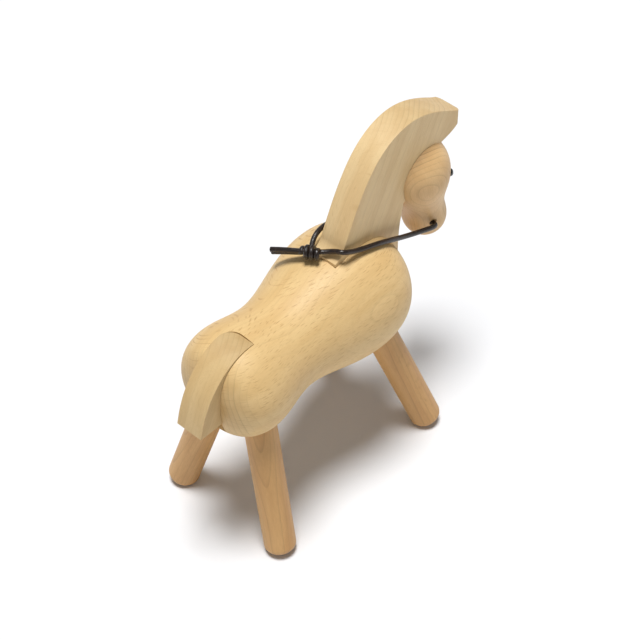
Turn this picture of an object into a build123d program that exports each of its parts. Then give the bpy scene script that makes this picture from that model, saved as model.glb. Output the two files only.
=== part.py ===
"""Turned and sawn beech toy horse with leather reins.

The horse faces -Y, its left side is +X and it stands on Z = 0. X = 0 is its plane of symmetry.
The body and the head are turned, the neck and the tail are sawn from board and let into slots,
the legs are dowels glued into drilled sockets, and the eyes are pins with domed heads. A leather
lace runs through the muzzle, back along both sides of the neck, and is knotted behind it.
"""

from build123d import *
import math
import os

# Driving dimensions, in millimetres
glue_gap = 0.1  # all round, in every slot and socket
overrun = 50.0  # how far a cutting shape runs past what it cuts
body_axis_z = 74.7
rump_end_y = 62.1
chest_end_y = -35.2
rump_radius = 21.9
waist_radius = 19.1
chest_radius = 26.0

neck_thickness = 11.0
neck_base_z = 78.0
neck_heel_y = -0.7  # back end of the neck's slot in the body
forelock_round = (5.9, 4.4)  # half-width and length of the forelock's rounded end, seen from above
forelock_round_y = -68.1

head_top = (-48.2, 123.0)  # (y, z) of the head's two poles
head_bottom = (-61.0, 71.9)
cranium_radius = 13.7
muzzle_radius = 8.8

tail_thickness = 11.8
tail_top_y = 43.5
tail_depth_y = 55.0
tail_corner_round = 5.8  # of the top end's left corner, seen from above

leg_diameter = 12.5
leg_end_radius = 3.0
leg_top_z = 67.0
foot_flat = 0.25  # height sanded off the round end, so that each foot has a level patch
rear_hip, rear_foot = (7.8, 45.9), (26.2, 54.5)  # (x, y) of the leg's axis at hip_z and on the floor
front_hip, front_foot = (8.3, -14.4), (27.9, -31.4)
hip_z = 69.7

eye_diameter = 3.2
eye_height = 1.4
eye_stem_diameter = 1.6
eye_stem_length = 6.0
eye_seat_depth = 0.2
eye_from_top = 19.5  # along the head's axis
eye_surface_radius = 13.0  # the head's radius there
eye_angle = 50.0  # degrees from straight ahead, round the head's axis

lace_diameter = 2.0
lace_hole_diameter = 3.0
lace_hole_y, lace_hole_z = -54.8, 82.8
lace_half_inside = 4.5  # half the stretch that stays inside the muzzle
knot_centre = (4.0, 2.1, 102.6)
knot_half_length = 3.6
knot_radius = 2.9

os.makedirs("parts", exist_ok=True)


# Shared shapes. A side view is drawn on Plane.YZ, where local x is Y and local y is Z.

head_length = math.dist(head_top, head_bottom)
head_axis = Vector(0, head_bottom[0] - head_top[0], head_bottom[1] - head_top[1]).normalized()
head_plane = Plane(origin=(0, *head_top), x_dir=head_axis, z_dir=(1, 0, 0))  # local x runs down the axis

seat_front = (-60.6, 119.2)  # the head's flat seat under the neck, as two points in the side view
seat_back = (-39.3, 103.2)
nose_reach, nose_rise = 9.0, 1.8  # slope of the forelock's underside ahead of the seat


def seat_point(fraction, rise=0.0):
    """A point on the line of the head's seat, at a fraction of its length and raised off it."""
    run_y, run_z = seat_back[0] - seat_front[0], seat_back[1] - seat_front[1]
    length = math.hypot(run_y, run_z)
    return (
        seat_front[0] + fraction * run_y - rise * run_z / length,
        seat_front[1] + fraction * run_z + rise * run_y / length,
    )


def leg_ends(hip, foot, side):
    """Top and bottom centres of a leg, with the foot's round end sunk by foot_flat below the floor."""
    lean = math.atan2(math.dist(hip, foot), hip_z)
    flat_radius = leg_diameter / 2 - leg_end_radius
    foot_z = leg_end_radius * (1 - math.cos(lean)) + flat_radius * math.sin(lean) - foot_flat
    top_share = (leg_top_z - foot_z) / (hip_z - foot_z)
    top_x = foot[0] + top_share * (hip[0] - foot[0])
    top_y = foot[1] + top_share * (hip[1] - foot[1])
    return Vector(side * top_x, top_y, leg_top_z), Vector(side * foot[0], foot[1], foot_z)


def eye_plane(side):
    """Plane on the head's surface at an eye, with its Z pointing out along the eye's pin."""
    turn = math.radians(eye_angle)
    ahead = Vector(0, head_axis.Z, -head_axis.Y)
    outward = Vector(side, 0, 0) * math.sin(turn) + ahead * math.cos(turn)
    centre = Vector(0, *head_top) + head_axis * eye_from_top + outward * eye_surface_radius
    return Plane(origin=centre, x_dir=head_axis, z_dir=outward)


legs = {
    "leg_front_left": leg_ends(front_hip, front_foot, 1),
    "leg_front_right": leg_ends(front_hip, front_foot, -1),
    "leg_rear_left": leg_ends(rear_hip, rear_foot, 1),
    "leg_rear_right": leg_ends(rear_hip, rear_foot, -1),
}


# Neck: a board, curved over at the top into the forelock, standing in the body's slot

with BuildPart() as neck:
    with BuildSketch(Plane.YZ):
        with BuildLine():
            back = Spline(
                (-5.7, 105.6),
                (-10.3, 115.7),
                (-16.2, 126.6),
                (-23.7, 135.9),
                (-32.5, 141.1),
                (-42.0, 142.2),
                (-55.0, 138.0),
                (-66.0, 131.2),
            )
            nose = Spline(
                back @ 1,
                (-72.5, 125.6),
                (-70.0, 122.2),
                seat_front,
                tangents=[back % 1, (nose_reach, -nose_rise)],
                tangent_scalars=(1, 1),
            )
            seat = Line(nose @ 1, seat_back)
            front = ThreePointArc(seat @ 1, (-37.4, 92.0), (-37.0, neck_base_z))
            base = Polyline(front @ 1, (neck_heel_y, neck_base_z), (neck_heel_y, 100.7))
            ThreePointArc(base @ 1, (-4.0, 102.7), back @ 0)
        make_face()
    extrude(amount=neck_thickness / 2, both=True)
    with BuildSketch(Plane.XY.offset(neck_base_z)):
        with Locations((0, forelock_round_y)):
            Ellipse(*forelock_round)
            Rectangle(2 * forelock_round[0], 2 * overrun, align=(Align.CENTER, Align.MIN))
    extrude(amount=2 * overrun, mode=Mode.INTERSECT)
neck.part.label = "neck"


# Tail: a curved board let into the rump, its back flush with the body at the top

with BuildPart() as tail:
    with BuildSketch(Plane.YZ):
        with BuildLine():
            tail_back = Spline(
                (tail_top_y, 95.9),
                (50.0, 96.1),
                (55.5, 94.5),
                (60.0, 91.6),
                (63.8, 87.9),
                (67.2, 83.2),
                (70.0, 77.2),
                (72.5, 68.4),
            )
            tail_end = Line(tail_back @ 1, (tail_depth_y, 67.0))
            inner = ThreePointArc(tail_end @ 1, (51.5, 79.5), (tail_top_y, 88.5))
            Line(inner @ 1, tail_back @ 0)
        make_face()
    extrude(amount=tail_thickness / 2, both=True)
    top_corner = tail.edges().filter_by(Axis.Z).sort_by(Axis.X)[-1]
    fillet(top_corner, tail_corner_round)
tail.part.label = "tail"


# Head: turned to a skull and a muzzle, slotted to sit astride the neck's front edge

with BuildPart() as head:
    with BuildSketch(head_plane):
        with BuildLine():
            profile = Spline(
                (0, 0),
                (5.2, 10.8),
                (14.5, cranium_radius),
                (26.4, 11.2),
                (38.6, muzzle_radius),
                (45.2, muzzle_radius),
                (50.2, 7.0),
                (head_length, 0),
                tangents=[(0, 1), (0, -1)],
                tangent_scalars=(1, 1),
            )
            Line(profile @ 1, profile @ 0)
        make_face()
    revolve(axis=Axis((0, *head_top), head_axis))
    with BuildSketch(Plane.YZ):
        Polygon(
            seat_point(0, -glue_gap),
            seat_point(2, -glue_gap),
            seat_point(2, overrun),
            seat_point(-1, overrun),
            (seat_front[0] - nose_reach, seat_front[1] + nose_rise - glue_gap),
            align=None,
        )
    extrude(amount=neck_thickness / 2 + glue_gap, both=True, mode=Mode.SUBTRACT)
    with BuildSketch(Plane.YZ):
        with Locations((lace_hole_y, lace_hole_z)):
            Circle(lace_hole_diameter / 2)
    extrude(amount=cranium_radius, both=True, mode=Mode.SUBTRACT)
    for side in (1, -1):
        with BuildSketch(eye_plane(side).offset(-eye_seat_depth)):
            Circle(eye_diameter / 2 + glue_gap)
        extrude(amount=eye_height, mode=Mode.SUBTRACT)
        with BuildSketch(eye_plane(side).offset(-eye_seat_depth)):
            Circle(eye_stem_diameter / 2 + glue_gap)
        extrude(amount=-eye_stem_length - glue_gap, mode=Mode.SUBTRACT)
head.part.label = "head"


# Eyes: pins with a domed head

def make_eye(side):
    """One eye on its seat, with its stem in the head."""
    seat_plane = eye_plane(side).offset(-eye_seat_depth)
    with BuildPart() as eye:
        with BuildSketch(seat_plane):
            Circle(eye_diameter / 2)
        extrude(amount=eye_height)
        fillet(eye.edges().sort_by(Axis(seat_plane.origin, seat_plane.z_dir))[-1], eye_height - 0.1)
        with BuildSketch(seat_plane):
            Circle(eye_stem_diameter / 2)
        extrude(amount=-eye_stem_length)
    return eye.part


# Legs: dowels with rounded feet, each sanded to a small level patch

def make_leg(top, bottom):
    """One leg from the centre of its top end to the centre of its round foot."""
    leg_plane = Plane(origin=bottom, z_dir=top - bottom)
    with BuildPart() as leg:
        with BuildSketch(leg_plane):
            Circle(leg_diameter / 2)
        extrude(amount=(top - bottom).length)
        fillet(leg.edges().sort_by(Axis.Z)[0], leg_end_radius)
        split(bisect_by=Plane.XY, keep=Keep.TOP)
    return leg.part


# Tail slot: what is cut from the body, with the same rounded corner as the tail

with BuildPart() as tail_slot:
    with BuildSketch(Plane.YZ):
        with BuildLine():
            slot_floor = ThreePointArc((tail_depth_y - glue_gap, 66.4), (51.4, 79.4), (tail_top_y - glue_gap, 88.4))
            Polyline(
                slot_floor @ 1,
                (tail_top_y - glue_gap, neck_base_z + overrun),
                (rump_end_y + overrun, neck_base_z + overrun),
                (rump_end_y + overrun, (slot_floor @ 0).Z),
                slot_floor @ 0,
            )
        make_face()
    extrude(amount=tail_thickness / 2 + glue_gap, both=True)
    slot_corner = tail_slot.edges().filter_by(Axis.Z).group_by(Axis.Y)[0].sort_by(Axis.X)[-1]
    fillet(slot_corner, tail_corner_round + glue_gap)


# Body: turned, then slotted for the neck and the tail and drilled for the legs

with BuildPart() as body:
    with BuildSketch(Plane.YZ):
        with BuildLine():
            flank = Spline(
                (chest_end_y, body_axis_z),
                (-30.4, body_axis_z + 17.3),
                (-22.5, body_axis_z + 23.7),
                (-11.0, body_axis_z + chest_radius),
                (5.0, body_axis_z + 23.7),
                (28.0, body_axis_z + waist_radius),
                (48.5, body_axis_z + rump_radius),
                (57.2, body_axis_z + 18.3),
                (60.5, body_axis_z + 13.3),
                (rump_end_y, body_axis_z),
                tangents=[(0, 1), (0, -1)],
                tangent_scalars=(1, 1),
            )
            Line(flank @ 1, flank @ 0)
        make_face()
    revolve(axis=Axis((0, 0, body_axis_z), (0, 1, 0)))
    with BuildSketch(Plane.YZ):
        Polygon(
            (neck_heel_y + glue_gap, neck_base_z - glue_gap),
            (neck_heel_y + glue_gap, neck_base_z + overrun),
            (chest_end_y - overrun, neck_base_z + overrun),
            (chest_end_y - overrun, neck_base_z - glue_gap),
            align=None,
        )
    extrude(amount=neck_thickness / 2 + glue_gap, both=True, mode=Mode.SUBTRACT)
    add(tail_slot.part, mode=Mode.SUBTRACT)
    for top, bottom in legs.values():
        with BuildSketch(Plane(origin=bottom, z_dir=top - bottom)):
            Circle(leg_diameter / 2 + glue_gap)
        extrude(amount=(top - bottom).length + glue_gap, mode=Mode.SUBTRACT)
body.part.label = "body"


# Reins: one leather lace, in two halves that meet in the muzzle and a stretch inside it

right_route = [
    (-lace_half_inside, lace_hole_y, lace_hole_z),
    (-9.6, lace_hole_y, lace_hole_z),
    (-10.6, -51.8, 84.0),
    (-10.2, -46.3, 86.3),
    (-9.5, -38.9, 89.2),
    (-9.5, -32.5, 92.6),
    (-9.7, -26.0, 96.5),
    (-9.6, -19.8, 99.7),
    (-8.9, -14.9, 101.3),
    (-8.0, -10.8, 102.3),
    (-7.5, -7.3, 103.8),
    (-6.7, -3.4, 106.0),
    (-3.8, -3.1, 104.9),
    (-1.3, -2.1, 103.8),
    (1.0, -0.2, 103.4),
    (4.2, 2.3, 103.6),
    (8.8, 4.6, 102.5),
    (13.7, 6.4, 101.2),
    (18.2, 8.1, 99.5),
]
left_route = [
    (lace_half_inside, lace_hole_y, lace_hole_z),
    (9.6, lace_hole_y, lace_hole_z),
    (10.6, -51.8, 84.0),
    (10.2, -46.3, 86.3),
    (9.5, -38.9, 89.4),
    (9.5, -32.5, 93.0),
    (9.7, -26.0, 96.9),
    (9.6, -19.8, 100.2),
    (9.0, -14.4, 102.7),
    (8.2, -9.2, 104.8),
    (7.4, -4.9, 105.3),
    (6.5, -1.7, 103.9),
    (5.0, 0.7, 101.9),
    (7.9, 2.8, 100.9),
    (13.2, 5.0, 99.3),
    (18.6, 7.0, 97.1),
]


def lace_line(route):
    """The path of one half of the lace, with a tangent arc at each corner, and a printout of the arcs."""
    points = [Vector(*point) for point in route]
    runs = [end - start for start, end in zip(points, points[1:])]
    radii = []
    for before, after in zip(runs, runs[1:]):
        half_turn = math.radians(before.get_angle(after) / 2)
        radii.append(0.45 * min(before.length, after.length) / math.tan(half_turn))
    print("runs", [round(run.length, 1) for run in runs], "radii", [round(radius, 1) for radius in radii])
    return FilletPolyline(*points, radius=radii)


def make_lace(path):
    """A round lace swept along a path."""
    with BuildPart() as lace:
        with BuildSketch(Plane(origin=path @ 0, z_dir=path % 0)):
            Circle(lace_diameter / 2)
        sweep(path=path)
    return lace.part


right_line = lace_line(right_route)
left_line = lace_line(left_route)
inside_line = Edge.make_line(right_line @ 0, left_line @ 0)

# The knot sits behind the neck on the left, drawn out along the two loose ends
knot_run = Vector(*right_route[-1]) - Vector(*knot_centre)
knot_plane = Plane(origin=knot_centre, x_dir=knot_run, z_dir=knot_run.cross(Vector(0, 0, 1)))
with BuildPart() as knot:
    with BuildSketch(knot_plane):
        Ellipse(knot_half_length, knot_radius)
        split(bisect_by=Plane.XZ, keep=Keep.TOP)
    revolve(axis=Axis(knot_centre, knot_run))
knot.part.label = "reins_knot"


pieces = [body.part, neck.part, head.part, tail.part, knot.part]
for name, (top, bottom) in legs.items():
    leg = make_leg(top, bottom)
    leg.label = name
    pieces.append(leg)
for name, side in (("eye_left", 1), ("eye_right", -1)):
    eye = make_eye(side)
    eye.label = name
    pieces.append(eye)
for name, line in (("rein_right", right_line), ("rein_left", left_line), ("rein_in_muzzle", inside_line)):
    lace = make_lace(line)
    lace.label = name
    pieces.append(lace)
    print(name, "length", round(line.length, 1), "volume over section times length",
          round(lace.volume / (math.pi * lace_diameter**2 / 4 * line.length), 3))

for piece in pieces:
    export_step(piece, f"parts/{piece.label}.step")
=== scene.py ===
"""Looks of a toy horse of turned and sawn beech with leather reins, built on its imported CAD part.

Metres, in the part's own frame: the horse faces -Y, its left side is +X and it stands on Z = 0.
"""

import math

import bpy
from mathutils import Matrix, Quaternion, Vector


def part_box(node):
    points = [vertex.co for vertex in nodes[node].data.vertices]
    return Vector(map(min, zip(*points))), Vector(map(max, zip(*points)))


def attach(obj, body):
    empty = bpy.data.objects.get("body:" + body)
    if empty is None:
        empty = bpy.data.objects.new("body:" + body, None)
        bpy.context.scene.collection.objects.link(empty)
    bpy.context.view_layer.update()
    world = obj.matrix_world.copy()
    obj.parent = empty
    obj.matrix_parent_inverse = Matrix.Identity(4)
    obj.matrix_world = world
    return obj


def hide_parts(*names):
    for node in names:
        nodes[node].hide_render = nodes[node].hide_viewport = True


MM = 0.001
PALE_FLOOR = (0.84, 0.85, 0.87)
WORLD_STRENGTH = 0.21
FLECK_COLOUR = (0.46, 0.245, 0.085, 1)
BROKEN_EDGE = 0.45 * MM

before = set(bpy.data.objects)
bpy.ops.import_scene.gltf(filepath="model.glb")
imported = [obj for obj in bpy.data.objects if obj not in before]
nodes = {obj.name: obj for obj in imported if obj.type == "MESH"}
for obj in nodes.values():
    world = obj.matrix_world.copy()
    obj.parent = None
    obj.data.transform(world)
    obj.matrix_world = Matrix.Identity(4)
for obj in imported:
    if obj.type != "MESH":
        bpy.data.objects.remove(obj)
scene = bpy.context.scene
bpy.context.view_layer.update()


def link(obj):
    scene.collection.objects.link(obj)
    return obj


# Camera, floor and light


def add_camera():
    """A long lens from behind the horse's right hip, looking down on its back."""
    azimuth, elevation, roll = (math.radians(angle) for angle in (221.9, 49.0, -0.5))
    aim = Vector((-3.2, 5.3, 73.8)) * MM
    distance = 0.707
    back = Vector(
        (
            math.sin(azimuth) * math.cos(elevation),
            -math.cos(azimuth) * math.cos(elevation),
            math.sin(elevation),
        )
    )
    camera = link(bpy.data.objects.new("camera", bpy.data.cameras.new("camera")))
    camera.data.lens = 106.7
    camera.data.sensor_width = 36.0
    camera.data.clip_start, camera.data.clip_end = 0.05, 20.0
    camera.location = aim + back * distance
    camera.rotation_mode = "QUATERNION"
    camera.rotation_quaternion = (-back).to_track_quat("-Z", "Y") @ Quaternion((0, 0, 1), roll)
    scene.camera = camera


def add_soft_sun(name, direction, angle, strength):
    """A wide soft source far above, which lights the whole floor evenly."""
    light = bpy.data.lights.new(name, "SUN")
    light.angle = math.radians(angle)
    light.energy = strength
    lamp = link(bpy.data.objects.new(name, light))
    lamp.rotation_mode = "QUATERNION"
    lamp.rotation_quaternion = Vector(direction).to_track_quat("Z", "Y")


def add_floor():
    """A wide pale floor and a pale world round it."""
    half = 5.0
    mesh = bpy.data.meshes.new("floor")
    corners = [(-half, -half, 0), (half, -half, 0), (half, half, 0), (-half, half, 0)]
    mesh.from_pydata(corners, [], [(0, 1, 2, 3)])
    material = bpy.data.materials.new("pale_floor")
    material.use_nodes = True
    shader = material.node_tree.nodes["Principled BSDF"]
    shader.inputs["Base Color"].default_value = (*PALE_FLOOR, 1)
    shader.inputs["Roughness"].default_value = 0.9
    shader.inputs["Specular IOR Level"].default_value = 0.1
    mesh.materials.append(material)
    link(bpy.data.objects.new("floor", mesh))
    world = bpy.data.worlds.new("studio")
    world.use_nodes = True
    world.node_tree.nodes["Background"].inputs["Color"].default_value = (1, 1, 1, 1)
    world.node_tree.nodes["Background"].inputs["Strength"].default_value = WORLD_STRENGTH
    scene.world = world


# Materials


class Shading:
    """A new material's node tree, with short calls that add a node and join it up."""

    def __init__(self, name):
        self.material = bpy.data.materials.new(name)
        self.material.use_nodes = True
        self.tree = self.material.node_tree
        self.shader = self.tree.nodes["Principled BSDF"]

    def put(self, value, socket):
        """Joins an output to a socket, or sets the socket to a constant."""
        if isinstance(value, bpy.types.NodeSocket):
            self.tree.links.new(value, socket)
        else:
            socket.default_value = value

    def node(self, kind, inputs, **settings):
        made = self.tree.nodes.new("ShaderNode" + kind)
        for key, value in settings.items():
            setattr(made, key, value)
        for key, value in inputs.items():
            self.put(value, made.inputs[key])
        return made

    def math(self, operation, a, b=0.0, c=0.0):
        return self.node("Math", {0: a, 1: b, 2: c}, operation=operation).outputs[0]

    def vector(self, operation, a, b=(0, 0, 0)):
        made = self.node("VectorMath", {0: a, 1: b}, operation=operation)
        return made.outputs["Value" if operation in ("DOT_PRODUCT", "LENGTH") else "Vector"]

    def combine(self, x, y, z=0.0):
        return self.node("CombineXYZ", {0: x, 1: y, 2: z}).outputs[0]

    def band(self, value, low, high, to_low=0.0, to_high=1.0):
        """A value's smooth step between two limits."""
        inputs = {
            "Value": value,
            "From Min": low,
            "From Max": high,
            "To Min": to_low,
            "To Max": to_high,
        }
        return self.node("MapRange", inputs, interpolation_type="SMOOTHSTEP").outputs[0]

    def noise(self, vector, scale=1.0, detail=2.0, roughness=0.5, output="Fac"):
        inputs = {"Vector": vector, "Scale": scale, "Detail": detail, "Roughness": roughness}
        return self.node("TexNoise", inputs).outputs[output]

    def mix(self, factor, a, b):
        """Two colours mixed by a factor."""
        made = self.node("Mix", {0: factor}, data_type="RGBA", clamp_factor=True)
        self.put(a, made.inputs[6])
        self.put(b, made.inputs[7])
        return made.outputs[2]

    def bump(self, height, distance, strength=1.0):
        inputs = {"Height": height, "Distance": distance, "Strength": strength}
        return self.node("Bump", inputs).outputs[0]

    def finish(self, **sockets):
        for key, value in sockets.items():
            socket = key.replace("_", " ").title().replace("Ior", "IOR")
            self.put(value, self.shader.inputs[socket])
        return self.material


def beech(name, grain, pith, light, dark, flecks, ring=1.9, ring_strength=0.35):
    """Oiled beech, with growth rings round a pith, ray flecks, fibres and end grain.

    grain is the direction that the tree grew in, pith a point on its middle in mm, and ring the
    width of a year's growth in mm.
    """
    end_grain = 0.25
    wood = Shading(name)
    up = Vector(grain).normalized()
    turn = up.to_track_quat("Z", "X").to_euler()
    coordinates = wood.node("TexCoord", {})
    placed = wood.node(
        "Mapping",
        {
            "Vector": coordinates.outputs["Object"],
            "Location": Vector(pith) * MM,
            "Rotation": turn,
            "Scale": (MM, MM, MM),
        },
        vector_type="TEXTURE",
    ).outputs[0]

    # The trunk isn't straight, so the rings wander by a millimetre or two
    slow = wood.vector("MULTIPLY", placed, (0.035, 0.035, 0.012))
    wander = wood.vector("SUBTRACT", wood.noise(slow, detail=1.5, output="Color"), (0.5, 0.5, 0.5))
    wandered = wood.vector("ADD", placed, wood.vector("MULTIPLY", wander, (7.0, 7.0, 0.0)))
    axes = wood.node("SeparateXYZ", {0: wandered})
    across = wood.vector("LENGTH", wood.combine(axes.outputs[0], axes.outputs[1]))
    angle = wood.math("ARCTAN2", axes.outputs[1], axes.outputs[0])
    along = axes.outputs[2]
    round_trunk = wood.math("MULTIPLY", angle, Vector(pith).length)

    # Growth rings: each year darkens slowly to a thin line
    years = wood.math("DIVIDE", across, ring)
    year = wood.math("FLOOR", years)
    within = wood.math("FRACT", years)
    late_wood = wood.math("POWER", within, 3.0)
    line = wood.band(within, 0.80, 0.95)
    sharp_end = wood.band(within, 0.97, 1.0, 1.0, 0.0)
    year_noise = wood.node("TexWhiteNoise", {"W": year}, noise_dimensions="1D")
    year_mark = year_noise.outputs["Value"]
    rings = wood.math("MULTIPLY", wood.math("ADD", late_wood, line), sharp_end)
    rings = wood.math("MULTIPLY", rings, wood.math("MULTIPLY_ADD", year_mark, 0.45, 0.15))

    # Ray flecks: short spindles along the grain on the faces that lie along the rings
    ray_spacing_round, ray_spacing_along = 0.62, 6.0
    ray_place = wood.combine(
        wood.math("DIVIDE", round_trunk, ray_spacing_round),
        wood.math("DIVIDE", along, ray_spacing_along),
    )
    ray_inputs = {"Vector": ray_place, "Scale": 1.0}
    rays = wood.node("TexVoronoi", ray_inputs, voronoi_dimensions="2D")
    ray_size = wood.node("SeparateColor", {0: rays.outputs["Color"]}).outputs[0]
    ray_reach = wood.math("MULTIPLY_ADD", ray_size, 0.20, 0.12)
    ray = wood.band(wood.math("DIVIDE", rays.outputs["Distance"], ray_reach), 0.2, 1.0, 1.0, 0.0)
    patches = wood.noise(wood.vector("MULTIPLY", placed, (0.12, 0.12, 0.05)))
    patches = wood.band(patches, 0.35, 0.65, 0.45, 1.0)
    ray = wood.math("MULTIPLY", ray, patches)

    # Fibres and broad bands of colour, both drawn out along the grain
    drawn_out = wood.vector("MULTIPLY", wandered, (4.0, 4.0, 0.22))
    fibre = wood.noise(drawn_out, detail=3.0, roughness=0.6)
    fibre_centred = wood.band(fibre, 0.3, 0.7)
    broad = wood.noise(wood.vector("MULTIPLY", wandered, (0.16, 0.16, 0.018)), detail=3.0)
    broad = wood.band(broad, 0.35, 0.68)

    # End grain: darker, and its rings show more, where the surface cuts across the fibres
    facing = wood.vector("DOT_PRODUCT", coordinates.outputs["Normal"], tuple(up))
    facing_end = wood.band(wood.math("ABSOLUTE", facing), 0.45, 1.0)
    ring_shows = wood.math("MULTIPLY_ADD", facing_end, 2.0 * ring_strength, ring_strength)

    ring_colour, fibre_colour, end_colour = (
        (*(share * channel for channel in dark), 1) for share in (0.62, 0.75, 0.55)
    )
    colour = wood.mix(wood.math("MULTIPLY", broad, 0.55), (*light, 1), (*dark, 1))
    colour = wood.mix(wood.math("MULTIPLY", rings, ring_shows), colour, ring_colour)
    colour = wood.mix(wood.math("MULTIPLY", fibre_centred, 0.20), colour, fibre_colour)
    colour = wood.mix(wood.math("MULTIPLY", ray, flecks), colour, FLECK_COLOUR)
    colour = wood.mix(wood.math("MULTIPLY", facing_end, end_grain), colour, end_colour)

    ray_depth = wood.math("MULTIPLY", ray, 0.8)
    height = wood.math("SUBTRACT", wood.math("MULTIPLY", fibre, 0.5), ray_depth)
    roughness = wood.band(fibre, 0.2, 0.8, 0.42, 0.56)
    return wood.finish(
        base_color=colour,
        roughness=roughness,
        normal=wood.bump(height, 0.03 * MM, 0.6),
        specular_ior_level=0.35,
    )


def leather(name):
    """Dark waxed leather lace with fine creases."""
    lace = Shading(name)
    place = lace.node("TexCoord", {}).outputs["Object"]
    grain = lace.noise(place, scale=2600.0, detail=3.0)
    creases = lace.noise(place, scale=900.0, detail=2.0)
    worn = lace.band(creases, 0.45, 0.75)
    colour = lace.mix(worn, (0.013, 0.007, 0.005, 1), (0.036, 0.019, 0.012, 1))
    height = lace.math("ADD", grain, lace.math("MULTIPLY", creases, 2.0))
    return lace.finish(
        base_color=colour,
        roughness=lace.band(grain, 0.3, 0.7, 0.30, 0.46),
        normal=lace.bump(height, 0.06 * MM),
        specular_ior_level=0.6,
    )


def black_gloss(name):
    """Glossy black lacquer with the faint ripple of a dipped bead."""
    lacquer = Shading(name)
    ripple = lacquer.noise(lacquer.node("TexCoord", {}).outputs["Object"], scale=700.0, detail=1.0)
    return lacquer.finish(
        base_color=lacquer.mix(ripple, (0.004, 0.004, 0.004, 1), (0.012, 0.011, 0.010, 1)),
        roughness=lacquer.band(ripple, 0.3, 0.7, 0.08, 0.14),
        normal=lacquer.bump(ripple, 0.01 * MM),
        coat_weight=0.6,
    )


def paint(piece, material):
    piece.data.materials.clear()
    piece.data.materials.append(material)


# Wooden pieces


def break_edges(piece, width):
    """Takes the saw-sharp edges off a board."""
    for attribute in ("custom_normal", "sharp_face", "sharp_edge"):
        if attribute in piece.data.attributes:
            piece.data.attributes.remove(piece.data.attributes[attribute])
    weld = piece.modifiers.new("weld", "WELD")
    weld.merge_threshold = 0.001 * MM
    flatten = piece.modifiers.new("flatten", "DECIMATE")
    flatten.decimate_type = "DISSOLVE"
    flatten.angle_limit = math.radians(0.2)
    bevel = piece.modifiers.new("bevel", "BEVEL")
    bevel.width = width
    bevel.segments = 4
    bevel.limit_method = "ANGLE"
    bevel.angle_limit = math.radians(35)
    normals = piece.modifiers.new("normals", "WEIGHTED_NORMAL")
    normals.keep_sharp = False


def finish_wood():
    """Gives each wooden node its own piece of beech, with the tail's colours darkened as painted
    shade.
    """
    pieces = {
        "body": {
            "grain": (0.03, 1, 0.02),
            "pith": (62, 0, 58),
            "light": (0.82, 0.58, 0.275),
            "dark": (0.70, 0.45, 0.185),
            "ring": 2.1,
            "ring_strength": 0.20,
            "flecks": 0.62,
        },
        "neck": {
            "grain": (0, -0.45, 0.89),
            "pith": (48, 30, 60),
            "light": (0.85, 0.63, 0.335),
            "dark": (0.72, 0.48, 0.22),
            "ring_strength": 0.18,
            "flecks": 0.22,
        },
        "head": {
            "grain": (0, -0.24, -0.97),
            "pith": (46, -66, 95),
            "light": (0.82, 0.555, 0.275),
            "dark": (0.68, 0.41, 0.175),
            "ring": 1.2,
            "ring_strength": 0.42,
            "flecks": 0.25,
        },
        # Painted shade: the tail's light and dark colours are darker than the body's, standing in
        # for the shade on its rear-facing faces
        "tail": {
            "grain": (0, 0.45, -0.89),
            "pith": (38, 85, 80),
            "light": (0.71, 0.51, 0.25),
            "dark": (0.60, 0.39, 0.165),
            "ring_strength": 0.18,
            "flecks": 0.22,
        },
    }
    for name, wood in pieces.items():
        paint(nodes[name], beech("beech_" + name, **wood))
    for name in ("neck", "tail"):
        break_edges(nodes[name], BROKEN_EDGE)

    leg_light, leg_dark = (0.72, 0.425, 0.17), (0.57, 0.295, 0.105)
    lean_sideways, lean_lengthways = 0.27, 0.2
    pith_aside, pith_behind = 40, 35
    for name, node in nodes.items():
        if name.startswith("leg"):
            low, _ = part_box(name)
            side = 1 if low.x > 0 else -1
            fore = 1 if low.y > 0 else -1
            lean = Vector((-side * lean_sideways, -fore * lean_lengthways, 1))
            pith = Vector((side * pith_aside, low.y / MM + pith_behind, 0))
            wood = beech("beech_" + name, lean, pith, leg_light, leg_dark, flecks=0.35, ring=1.6)
            paint(node, wood)


# Reins: the lace of the CAD model, with the same route points in millimetres

REIN_RIGHT = [
    (-4.5, -54.8, 82.8),
    (-9.6, -54.8, 82.8),
    (-10.6, -51.8, 84.0),
    (-10.2, -46.3, 86.3),
    (-9.5, -38.9, 89.2),
    (-9.5, -32.5, 92.6),
    (-9.7, -26.0, 96.5),
    (-9.6, -19.8, 99.7),
    (-8.9, -14.9, 101.3),
    (-8.0, -10.8, 102.3),
    (-7.5, -7.3, 103.8),
    (-6.7, -3.4, 106.0),
    (-3.8, -3.1, 104.9),
    (-1.3, -2.1, 103.8),
    (1.0, -0.2, 103.4),
    (4.2, 2.3, 103.6),
    (8.8, 4.6, 102.5),
    (13.7, 6.4, 101.2),
    (18.2, 8.1, 99.5),
]
REIN_LEFT = [
    (4.5, -54.8, 82.8),
    (9.6, -54.8, 82.8),
    (10.6, -51.8, 84.0),
    (10.2, -46.3, 86.3),
    (9.5, -38.9, 89.4),
    (9.5, -32.5, 93.0),
    (9.7, -26.0, 96.9),
    (9.6, -19.8, 100.2),
    (9.0, -14.4, 102.7),
    (8.2, -9.2, 104.8),
    (7.4, -4.9, 105.3),
    (6.5, -1.7, 103.9),
    (5.0, 0.7, 101.9),
    (7.9, 2.8, 100.9),
    (13.2, 5.0, 99.3),
    (18.6, 7.0, 97.1),
]
KNOT_CENTRE = (4.0, 2.1, 102.6)
LACE_DIAMETER = 2.0 * MM


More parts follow.
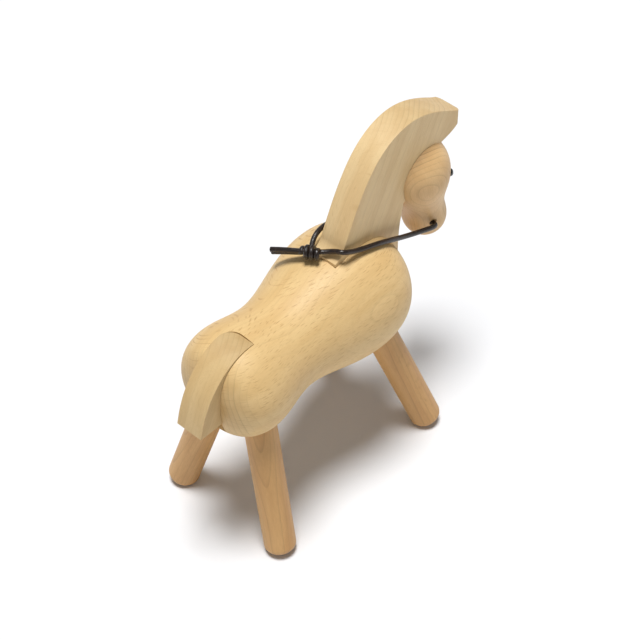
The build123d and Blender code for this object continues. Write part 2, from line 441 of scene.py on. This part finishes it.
def make_lace(name, route):
    """A round lace along a smooth open curve through the route, given in mm."""
    curve = bpy.data.curves.new(name, "CURVE")
    curve.dimensions = "3D"
    curve.bevel_depth = LACE_DIAMETER / 2
    curve.bevel_resolution = 6
    curve.resolution_u = 12
    curve.use_fill_caps = True
    spline = curve.splines.new("NURBS")
    spline.points.add(len(route) - 1)
    for point, place in zip(spline.points, route):
        point.co = (*(value * MM for value in place), 1)
    spline.order_u = 3
    spline.use_endpoint_u = True
    return link(bpy.data.objects.new(name, curve))


def knot_route():
    """The knot's turns, wound round both halves of the lace and tucked in at their ends."""
    turns, steps, pitch = 3.6, 40, 2.05
    barrel_radius, slant, lift, start = 1.95, 0.55, 0.4, -0.6
    least_tuck, tuck_rate = 0.25, 4.0
    axis = (Vector(REIN_RIGHT[-1]) - Vector(KNOT_CENTRE)).normalized()
    across = axis.cross(Vector((0, 0, 1))).normalized()
    over = across.cross(axis)
    centre = Vector(KNOT_CENTRE) + over * lift
    route = []
    for step in range(steps + 1):
        share = step / steps
        angle = math.tau * turns * share + start
        tuck = min(1.0, tuck_rate * min(share, 1 - share) + least_tuck)
        out = across * math.cos(angle) + over * math.sin(angle)
        advance = pitch * turns * (share - 0.5) + slant * math.cos(angle) * tuck
        route.append(centre + axis * advance + out * barrel_radius * tuck)
    return route


def add_reins():
    """The two halves of the lace, the stretch inside the muzzle and the knot behind the neck."""
    material = leather("waxed_leather")
    inside, knot_node = nodes["rein_in_muzzle"], nodes["reins_knot"]
    for node in (inside, knot_node):
        paint(node, material)
    knot = make_lace("knot_turns", knot_route())
    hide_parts("reins_knot")
    right = make_lace("lace_right", REIN_RIGHT)
    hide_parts("rein_right")
    left = make_lace("lace_left", REIN_LEFT)
    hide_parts("rein_left")
    for piece in (knot, right, left):
        paint(piece, material)
        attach(piece, "reins")


scene.view_settings.view_transform = "Standard"
add_camera()
add_reins()
add_floor()
add_soft_sun("key", (0.03, 0.04, 1.0), 19.0, 3.15)
finish_wood()
for eye in ("eye_left", "eye_right"):
    paint(nodes[eye], black_gloss("gloss_" + eye))
